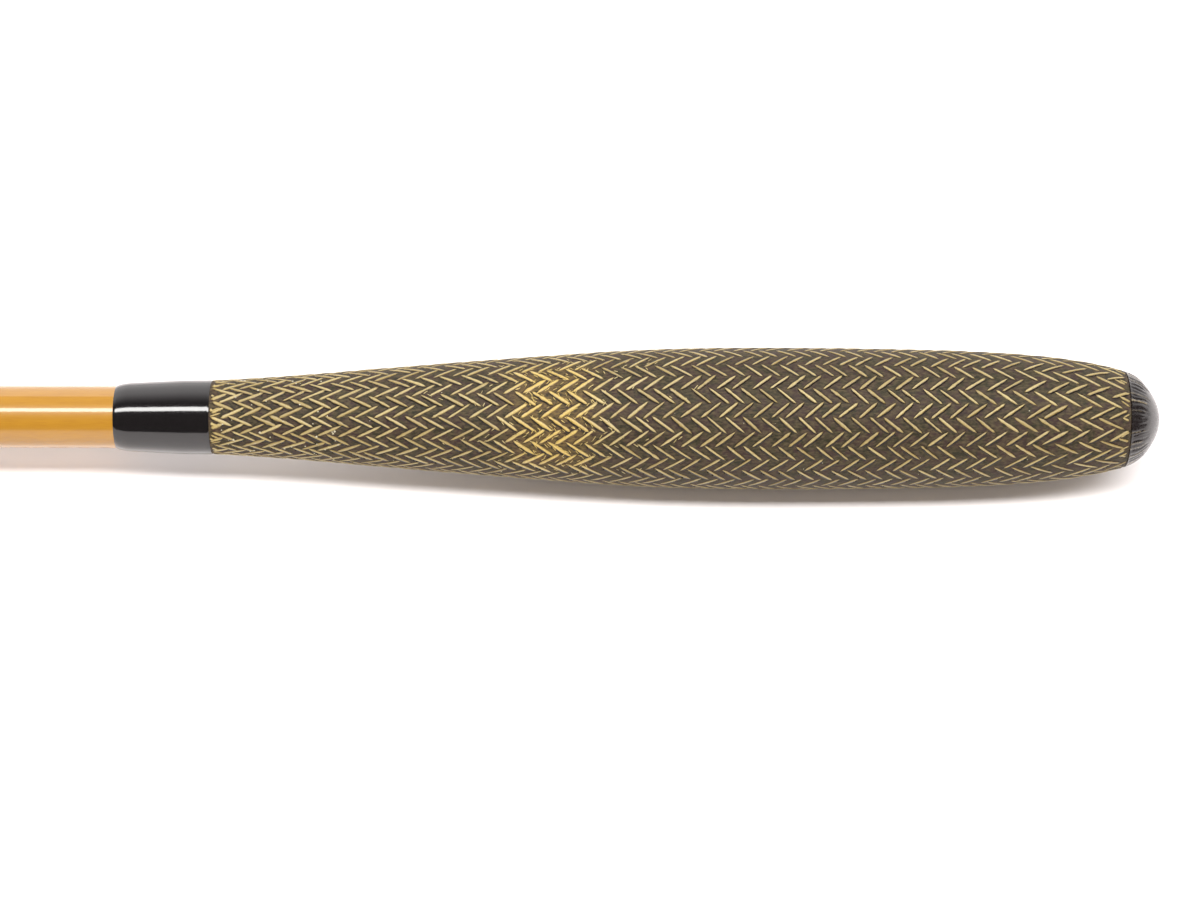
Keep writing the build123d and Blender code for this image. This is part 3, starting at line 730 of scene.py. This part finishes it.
first = int(count_of(grip_rear)) - 1
last = int(count_of(grip_front)) + 2
for row in range(ROWS):
    for n in range(first, last):
        count = n + 0.5 * (row % 2) + shift[row, n % STRANDS]
        here = station_of(count)
        gain = WORN_GAIN * float(worn(here, (row + 0.5) * ROW_ANGLE))
        reach = STRAND_REACH * np.interp(here, LONGER_AT, LONGER) * rng.uniform(0.93, 1.05)
        span = STRAND_SPAN * np.interp(here, WIDER_AT, WIDER) * rng.uniform(0.94, 1.06)
        width = np.interp(here, WIDTH_AT, WIDTH) * rng.uniform(0.85, 1.12) * (1 + gain)
        height = rng.uniform(0.13, 0.16)
        tone = min(rng.uniform(0.15, 0.65) + gain, 1.0)
        add_strand(count, row, reach, span, width, height, tone)
print("strands:", ROWS * (last - first))
finish_strands("braid_strands")

# %% [markdown]
# ## Wear, short ends and resin specks
# Where the fingers close, the paint has gone from the lower cords too, so short bits of gold show
# between the strands. Against the collar and the butt, the cut ends of the cords crowd into a ring.
# Small drops of clear resin are left on the braid near the collar.

# %% Worn bits and cut ends
WORN_BITS = 520
BITS_MIDDLE = 119.0
BITS_SPREAD = 11.0
BITS_HALF_ANGLE = math.radians(66)
# Narrower rims of painted shadow for the worn bits and the cut ends.
BIT_SHADOW_RIMS = (0.05, 0.02)
END_SHADOW_RIMS = (0.06, 0.03)
ENDS_AT_COLLAR = 24
ENDS_AT_BUTT = 22

for _ in range(WORN_BITS):
    station = rng.normal(BITS_MIDDLE, BITS_SPREAD)
    angle = rng.uniform(-1, 1) * BITS_HALF_ANGLE
    row = int(math.floor(angle / ROW_ANGLE)) % ROWS
    if worn(station, angle) < rng.uniform(-0.5, 1.0):
        continue
    add_strand(count_of(station), row + int(rng.integers(0, 2)), rng.uniform(0.1, 0.3),
               rng.uniform(0.1, 0.35), rng.uniform(0.12, 0.22), rng.uniform(0.06, 0.1),
               rng.uniform(0.3, 1.0), middle=rng.uniform(-0.1, 1.1), shadow_rim=BIT_SHADOW_RIMS)
for station, ends in ((grip_front - 1.3, ENDS_AT_COLLAR), (grip_rear + 1.0, ENDS_AT_BUTT)):
    for i in range(ends):
        angle = (i + rng.uniform(-0.3, 0.3)) * 2 * math.pi / ends
        row = int(math.floor(angle / ROW_ANGLE)) % ROWS
        add_strand(count_of(station + rng.uniform(-0.25, 0.25)), row, rng.uniform(0.4, 0.6),
                   rng.uniform(0.35, 0.6), rng.uniform(0.26, 0.4), rng.uniform(0.1, 0.15),
                   rng.uniform(0.1, 0.4), middle=(angle / ROW_ANGLE) % 1, shadow_rim=END_SHADOW_RIMS)
finish_strands("braid_ends_and_wear")

# %% Resin specks
# Clear epoxy dried as drops, IOR 1.5, where the braid glints white: their gloss glints, and their pale
# straw colour is a painted glint.
resin_and_painted_glint, tree, shader, where = new_finish(
    "clear_epoxy_drops", Roughness=0.08, IOR=1.5, Coat_Weight=0.5, Coat_Roughness=0.03)
haze = add_node(tree, "ShaderNodeTexNoise", Vector=where, Scale=per_metre(0.3), Detail=1.0)
colour = add_node(tree, "ShaderNodeMix", {"data_type": "RGBA"}, Factor_Float=haze.outputs[0],
                  A_Color=linear("#857c5c"), B_Color=linear("#d2ccb4"))
tree.links.new(colour.outputs["Result"], shader.inputs["Base Color"])
SPECK_AROUND = 8
AT_COLLAR = ((163, 187), (0.1, 0.27))  # from station to station, and radii
ELSEWHERE = ((12, 160), (0.06, 0.14))
SPECKS = [AT_COLLAR] * 150 + [ELSEWHERE] * 50
SPECK_FOOT, SPECK_BOTTOM = -0.04, -0.06
SPECK_UNEVEN = 0.15

speck_points, speck_faces = [], []
for i, (places, sizes) in enumerate(SPECKS):
    station = rng.uniform(*places)
    angle = rng.uniform(0, 2 * math.pi)
    speck_radius = rng.uniform(*sizes)
    height = speck_radius * rng.uniform(0.5, 0.8)
    base_radius = float(over_grip(station)) - GROUND_DROP
    start = len(speck_points)
    for ring, up in ((1.0, SPECK_FOOT), (0.75, 0.6 * height)):
        for j in range(SPECK_AROUND):
            turn = j * 2 * math.pi / SPECK_AROUND
            reach = speck_radius * ring * (1 + SPECK_UNEVEN * math.sin(3 * turn + i))
            speck_points.append(place(station + reach * math.cos(turn),
                                      angle + reach * math.sin(turn) / base_radius,
                                      base_radius + up))
    speck_points.append(place(station, angle, base_radius + height))
    speck_points.append(place(station, angle, base_radius + SPECK_BOTTOM))
    for j in range(SPECK_AROUND):
        k = (j + 1) % SPECK_AROUND
        a, b = start, start + SPECK_AROUND
        speck_faces.append((a + j, a + k, b + k, b + j))
        speck_faces.append((b + j, b + k, b + SPECK_AROUND))
        speck_faces.append((a + k, a + j, b + SPECK_AROUND + 1))
specks = make_piece("resin_specks", speck_points, speck_faces, [resin_and_painted_glint], sharp=NEVER_SHARP)
settle(specks, "handle", "lacquered_braid")
print("resin specks:", len(SPECKS))

# %% [markdown]
# ## The butt cap's dome
# The cap is a dome whose side shows the cut fibres of a cord lashing under dark lacquer: about sixty
# uneven ribs that run from its edge towards the crown and fade into a smooth pole. A bump map would
# leave the rim straight, so the ribs are real relief on a turned mesh. Only grooves are sunk, never
# ridges raised, so the dome keeps the size that the CAD gives it.

# %% Ribbed dome
dome_rear, dome_front = stations("butt_cap_dome")
RIBS = 62
RIB_BEND = 0.012
RIB_FADE = 0.9
EDGE_FADE = 0.5
STREAK_FADE = 0.8
STREAK_TURN = 0.05  # from a groove to the pale streak beside it
BOND_LINE = 0.03
DOME_AROUND = 360
rib_angle = np.cumsum(rng.uniform(0.6, 1.4, RIBS))
rib_angle = rib_angle / rib_angle[-1] * 2 * math.pi
rib_depth = rng.uniform(0.08, 0.26, RIBS)
rib_end = rng.uniform(2.2, 3.9, RIBS)
rib_width = rng.uniform(0.022, 0.045, RIBS)
rib_light = rng.uniform(0, 1, RIBS) ** 1.3

dome_probe = np.concatenate([dome_rear + np.array([0.02, 0.08, 0.2, 0.4, 0.65]),
                             np.linspace(1.0, dome_front - 0.32, 26) + dome_rear,
                             dome_front - np.array([0.2, 0.1, 0.04])])
dome_radius = radii("butt_cap_dome", dome_probe)
spigot = float(radii("cap_plug", [dome_front - 1.0])[0]) + BOND_LINE
spigot_end = stations("cap_plug")[0]
print("dome to", round(dome_front, 2), "spigot", round(spigot, 2), "reaches", round(spigot_end, 2))


def dome_relief(station, angle, radius):
    """Grooves between the ribs of the dome, in millimetres."""
    out = np.zeros_like(radius)
    for a, depth, end, wide in zip(rib_angle, rib_depth, rib_end, rib_width):
        bend = RIB_BEND * np.sin(station * 1.7 + a * 9)
        turn = within_half_turn(angle - a + bend)
        along = np.clip((station - end) / RIB_FADE, 0, 1)
        along = along * np.clip((dome_front - station) / EDGE_FADE, 0.25, 1)
        out -= depth * np.exp(-(turn / wide) ** 2) * along
    out[len(dome_probe):] = 0
    return out


dome_outline = ([(dome_rear, 0)] + list(zip(dome_probe, dome_radius))
                + [(dome_front, dome_radius[-1] - 0.1), (dome_front, spigot),
                   (spigot_end - 0.1, spigot), (spigot_end - 0.1, 0)])

# The dark lacquer lets the cord below show as olive-grey streaks: a thin, aged, oil-dark coat.
dome_lacquer, tree, shader, where = new_finish(
    "dark_lacquer_over_cord", Roughness=0.3, IOR=1.5, Coat_Weight=0.3, Coat_Roughness=0.1)
rib = add_node(tree, "ShaderNodeAttribute", {"attribute_name": "rib"})
streaks = add_node(tree, "ShaderNodeTexNoise", Vector=where, Scale=per_metre(0.5), Detail=3.0)
ragged = add_node(tree, "ShaderNodeMath", {"operation": "MULTIPLY"}, Value=rib.outputs["Fac"],
                  Value_001=streaks.outputs[0])
show = add_node(tree, "ShaderNodeMapRange", Value=ragged.outputs[0], From_Min=0.12, From_Max=0.5)
colour = add_node(tree, "ShaderNodeMix", {"data_type": "RGBA"}, Factor_Float=show.outputs[0],
                  A_Color=linear("#191414"), B_Color=linear("#7d725a"))
tree.links.new(colour.outputs["Result"], shader.inputs["Base Color"])
dull = add_node(tree, "ShaderNodeMapRange", Value=streaks.outputs[0], From_Min=0.3, From_Max=0.7,
                To_Min=0.16, To_Max=0.34)
tree.links.new(dull.outputs[0], shader.inputs["Roughness"])
dome = turned("ribbed_cap_dome", dome_outline, dome_lacquer, DOME_AROUND, dome_relief)
dome_station, dome_angle = where_on_rod(dome)
pale = np.zeros(len(dome_station))
for a, end, wide, light in zip(rib_angle + STREAK_TURN, rib_end, rib_width, rib_light):
    turn = within_half_turn(dome_angle - a)
    along = np.clip((dome_station - end) / STREAK_FADE, 0, 1)
    pale = np.maximum(pale, light * along * np.exp(-(turn / (wide * 0.8)) ** 2))
store(dome, "rib", pale)
settle(dome, "cap", "black_lacquer", "butt_cap_dome")

# %% [markdown]
# ## The front collar
# The collar covers the cords' front end. It is a built-up band of black lacquer, thicker at the grip,
# thin at the blank, with shoulders that surface tension rounded. It is turned again from the CAD's
# outline, with a swell behind its rear edge and a longer, smoother shoulder at its front.

# %% Collar
collar_rear, collar_front = stations("front_collar")
middle_of_collar = np.linspace(collar_rear + 0.3, collar_front - 0.4, 24)
collar_radius = radii("front_collar", middle_of_collar)
collar_bore = radii("front_collar", [collar_rear + 0.2, collar_front - 0.2], inside=True)
SHOULDER = 2.8
SHOULDER_ROUND = 0.45  # the rest of the shoulder's fall is a slope
SWELL = 0.26
SWELL_LENGTH = 6
REAR_ROUND = 0.45
REAR_DROP = 0.14
LACQUER_EDGE = 0.02
COLLAR_AROUND = 160
blank_here = float(radii("butt_blank", [collar_front + 0.5])[0])
body_line = []
for s in np.linspace(collar_rear, collar_front, 60):
    r = float(np.interp(s, middle_of_collar, collar_radius))
    r += SWELL * np.clip((s - collar_rear) / SWELL_LENGTH, 0, 1)
    front = 1 - np.clip((collar_front - s) / SHOULDER, 0, 1)
    fall = SHOULDER_ROUND * (1 - math.sqrt(1 - front ** 2)) + (1 - SHOULDER_ROUND) * front ** 2
    r -= fall * (r - blank_here - LACQUER_EDGE)
    back = 1 - np.clip((s - collar_rear) / REAR_ROUND, 0, 1)
    r -= REAR_DROP * (1 - math.sqrt(1 - back ** 2))
    body_line.append((s, r))
collar_line = body_line + [(collar_front, blank_here + 0.005),
                           (collar_front - 0.2, collar_bore[1]),
                           (collar_rear + 0.2, collar_bore[0]), (collar_rear, collar_bore[0])]
collar = turned("lacquered_collar", collar_line, black, COLLAR_AROUND, sharp=math.radians(60))
settle(collar, "handle", "black_lacquer", "front_collar")

# %% [markdown]
# ## Thread wraps at the mouths
# Every section's mouth is bound with silk thread, so that the tube can't split, and lacquered over.
# The turns still show as fine rings. A turned mesh with a small wave at the thread's spacing gives
# them, rounded at both ends where the lacquer runs out onto the tube. Real silk lies about 0.2 mm
# apart: the spacing here is coarser, so that the turns can be seen.

# %% Wraps
THREAD_SPACING = 0.42
TIP_SPACING = 0.3
THREAD_WAVE = 0.022
RINGS_PER_TURN = 6
WRAP_AROUND = 72
WRAP_EDGE = 0.35


def wrap_outline(node, spacing):
    """The outline of a lacquered thread wrap, from its CAD piece."""
    rear, front = stations(node)
    edge = min(WRAP_EDGE, (front - rear) / 6)
    ring_count = int((front - rear) / spacing * RINGS_PER_TURN)
    where_to = np.linspace(rear + 0.02, front - 0.02, ring_count)
    outer = radii(node, where_to)
    inner = radii(node, [(rear + front) / 2], inside=True)[0]
    line = []
    for s, r in zip(where_to, outer):
        wave = THREAD_WAVE * (math.cos(2 * math.pi * s / spacing) - 1)
        ends = np.clip(min(s - rear, front - s) / edge, 0, 1)
        line.append((s, max(r + wave * ends, inner + 0.03)))
    bore = radii(node, [rear + 0.1, front - 0.1], inside=True)
    return line + [(front, line[-1][1] - 0.02), (front, bore[1]), (rear, bore[0]),
                   (rear, line[0][1] - 0.02)]


WRAPS = [("muzzle_wrap", "handle", THREAD_SPACING)]
WRAPS += [(f"section_{i}_wrap", f"tube_{i}", THREAD_SPACING) for i in range(2, 8)]
WRAPS += [("tip_whipping", "tip", TIP_SPACING)]
for node, body, spacing in WRAPS:
    ring = turned("lacquered_" + node, wrap_outline(node, spacing), black, WRAP_AROUND)
    settle(ring, body, "black_lacquer", node)

# %% [markdown]
# ## Dark sections and the tip
# The inner sections are carbon prepreg tubes, rolled on a mandrel and baked under shrink tape, then
# given one coat of dark brown lacquer. The tape leaves faint rings about 2 mm apart, and the cloth
# shows as long dark streaks. The last section is solid glass, lacquered orange-red to be seen.

# %% Dark section lacquer
section_paint, tree, shader, where = new_finish(
    "dark_lacquer_on_carbon", Roughness=0.25, IOR=1.5, Coat_Weight=0.9, Coat_Roughness=0.05)
cloth_way = add_node(tree, "ShaderNodeMapping", Vector=where, Scale=drawn_out(14, 0.35))
cloth = add_node(tree, "ShaderNodeTexNoise", Vector=cloth_way.outputs[0], Scale=1.0, Detail=3.0)
tape = add_node(tree, "ShaderNodeTexWave", {"bands_direction": "X", "wave_type": "BANDS"},
                Vector=where, Scale=bands(2.0), Distortion=0.4)
colour = add_node(tree, "ShaderNodeMix", {"data_type": "RGBA"}, Factor_Float=cloth.outputs[0],
                  A_Color=linear("#1b100b"), B_Color=linear("#3a2116"))
tree.links.new(colour.outputs["Result"], shader.inputs["Base Color"])
rings = add_node(tree, "ShaderNodeBump", Strength=0.3, Distance=0.00002, Height=tape.outputs[0])
tree.links.new(rings.outputs[0], shader.inputs["Normal"])

# %% Tip lacquer
tip_paint, tree, shader, where = new_finish(
    "orange_red_tip_lacquer", Roughness=0.3, IOR=1.5, Coat_Weight=1.0, Coat_Roughness=0.04)
coat_way = add_node(tree, "ShaderNodeMapping", Vector=where, Scale=drawn_out(6, 0.5))
coat = add_node(tree, "ShaderNodeTexNoise", Vector=coat_way.outputs[0], Scale=1.0, Detail=2.0)
colour = add_node(tree, "ShaderNodeMix", {"data_type": "RGBA"}, Factor_Float=coat.outputs[0],
                  A_Color=linear("#b03410"), B_Color=linear("#d2481a"))
tree.links.new(colour.outputs["Result"], shader.inputs["Base Color"])

# %% [markdown]
# ## Metal, rubber, cork and binding
# The plug and its socket are turned aluminium, clear anodised: the lathe's feed of 0.1 mm leaves rings
# round the axis, drawn 0.2 mm apart here to show. The O-ring and pad are black nitrile rubber, matt
# with a bloom. The core is cork, with lenticels up to 2 mm. The hidden bindings are waxed thread.

# %% Turned aluminium and stainless steel
aluminium, tree, shader, where = new_finish("turned_anodised_aluminium", Metallic=1.0)
feed_way = add_node(tree, "ShaderNodeMapping", Vector=where, Scale=drawn_out(0.2, 30))
feed = add_node(tree, "ShaderNodeTexNoise", Vector=feed_way.outputs[0], Scale=1.0, Detail=2.0)
colour = add_node(tree, "ShaderNodeMix", {"data_type": "RGBA"}, Factor_Float=feed.outputs[0],
                  A_Color=linear("#c4c6c8"), B_Color=linear("#dddedf"))
tree.links.new(colour.outputs["Result"], shader.inputs["Base Color"])
rough = add_node(tree, "ShaderNodeMapRange", Value=feed.outputs[0], From_Min=0.3, From_Max=0.7,
                 To_Min=0.22, To_Max=0.4)
tree.links.new(rough.outputs[0], shader.inputs["Roughness"])
cut = add_node(tree, "ShaderNodeBump", Strength=0.4, Distance=0.00001, Height=feed.outputs[0])
tree.links.new(cut.outputs[0], shader.inputs["Normal"])

steel, tree, shader, where = new_finish("turned_stainless_steel", Metallic=1.0)
fine_way = add_node(tree, "ShaderNodeMapping", Vector=where, Scale=drawn_out(0.12, 20))
marks = add_node(tree, "ShaderNodeTexNoise", Vector=fine_way.outputs[0], Scale=1.0, Detail=2.0)
colour = add_node(tree, "ShaderNodeMix", {"data_type": "RGBA"}, Factor_Float=marks.outputs[0],
                  A_Color=linear("#a9a7a3"), B_Color=linear("#c5c3bf"))
tree.links.new(colour.outputs["Result"], shader.inputs["Base Color"])
rough = add_node(tree, "ShaderNodeMapRange", Value=marks.outputs[0], From_Min=0.3, From_Max=0.7,
                 To_Min=0.18, To_Max=0.32)
tree.links.new(rough.outputs[0], shader.inputs["Roughness"])

# %% Nitrile rubber
rubber, tree, shader, where = new_finish("moulded_nitrile_rubber", IOR=1.52)
bloom = add_node(tree, "ShaderNodeTexNoise", Vector=where, Scale=per_metre(1.5), Detail=4.0)
colour = add_node(tree, "ShaderNodeMix", {"data_type": "RGBA"}, Factor_Float=bloom.outputs[0],
                  A_Color=linear("#121213"), B_Color=linear("#2b2b2c"))
tree.links.new(colour.outputs["Result"], shader.inputs["Base Color"])
rough = add_node(tree, "ShaderNodeMapRange", Value=bloom.outputs[0], From_Min=0.3, From_Max=0.7,
                 To_Min=0.5, To_Max=0.75)
tree.links.new(rough.outputs[0], shader.inputs["Roughness"])

# %% Cork
cork, tree, shader, where = new_finish("pressed_cork", Roughness=0.85, IOR=1.4)
cells = add_node(tree, "ShaderNodeTexVoronoi", Vector=where, Scale=per_metre(1.2))
pits = add_node(tree, "ShaderNodeTexNoise", Vector=where, Scale=per_metre(2.0), Detail=4.0)
granule = add_node(tree, "ShaderNodeMix", {"data_type": "RGBA"},
                   Factor_Float=cells.outputs["Distance"],
                   A_Color=linear("#b98a58"), B_Color=linear("#9c6e40"))
hole = add_node(tree, "ShaderNodeMapRange", Value=pits.outputs[0], From_Min=0.58, From_Max=0.66)
colour = add_node(tree, "ShaderNodeMix", {"data_type": "RGBA"}, Factor_Float=hole.outputs[0],
                  A_Color=granule.outputs["Result"], B_Color=linear("#5a3a20"))
tree.links.new(colour.outputs["Result"], shader.inputs["Base Color"])
relief = add_node(tree, "ShaderNodeBump", {"invert": True}, Strength=0.5, Distance=0.0001,
                  Height=hole.outputs[0])
tree.links.new(relief.outputs[0], shader.inputs["Normal"])

# %% Waxed binding thread
binding, tree, shader, where = new_finish("waxed_binding_thread", Roughness=0.6, IOR=1.5)
turns = add_node(tree, "ShaderNodeTexWave", {"bands_direction": "X", "wave_type": "BANDS"},
                 Vector=where, Scale=bands(0.4), Distortion=0.3)
colour = add_node(tree, "ShaderNodeMix", {"data_type": "RGBA"}, Factor_Float=turns.outputs[0],
                  A_Color=linear("#6d5128"), B_Color=linear("#b08c4c"))
tree.links.new(colour.outputs["Result"], shader.inputs["Base Color"])
round_turns = add_node(tree, "ShaderNodeBump", Strength=0.8, Distance=0.00008,
                       Height=turns.outputs[0])
tree.links.new(round_turns.outputs[0], shader.inputs["Normal"])

# %% [markdown]
# ## Finishes onto the CAD pieces
# The CAD pieces whose shape is right stay as they are. The record says which finish each one has, so
# one table from the record's slots to the materials above dresses them all, and none is missed.

# %% Dress the CAD pieces
FINISHES = {
    "amber_lacquer": amber, "black_lacquer": black, "lacquered_braid": ground,
    "binding_thread": binding, "cork": cork, "aluminium": aluminium, "rubber": rubber,
    "dark_lacquer": section_paint, "tip_lacquer": tip_paint, "steel": steel}
dressed = 0
for part in frame["record"]["subparts"]:
    for holder in frame["nodes"][part["node"]].material_slots:
        holder.material = FINISHES[part["material_slot"]]
        dressed += 1
print("CAD pieces dressed:", dressed)
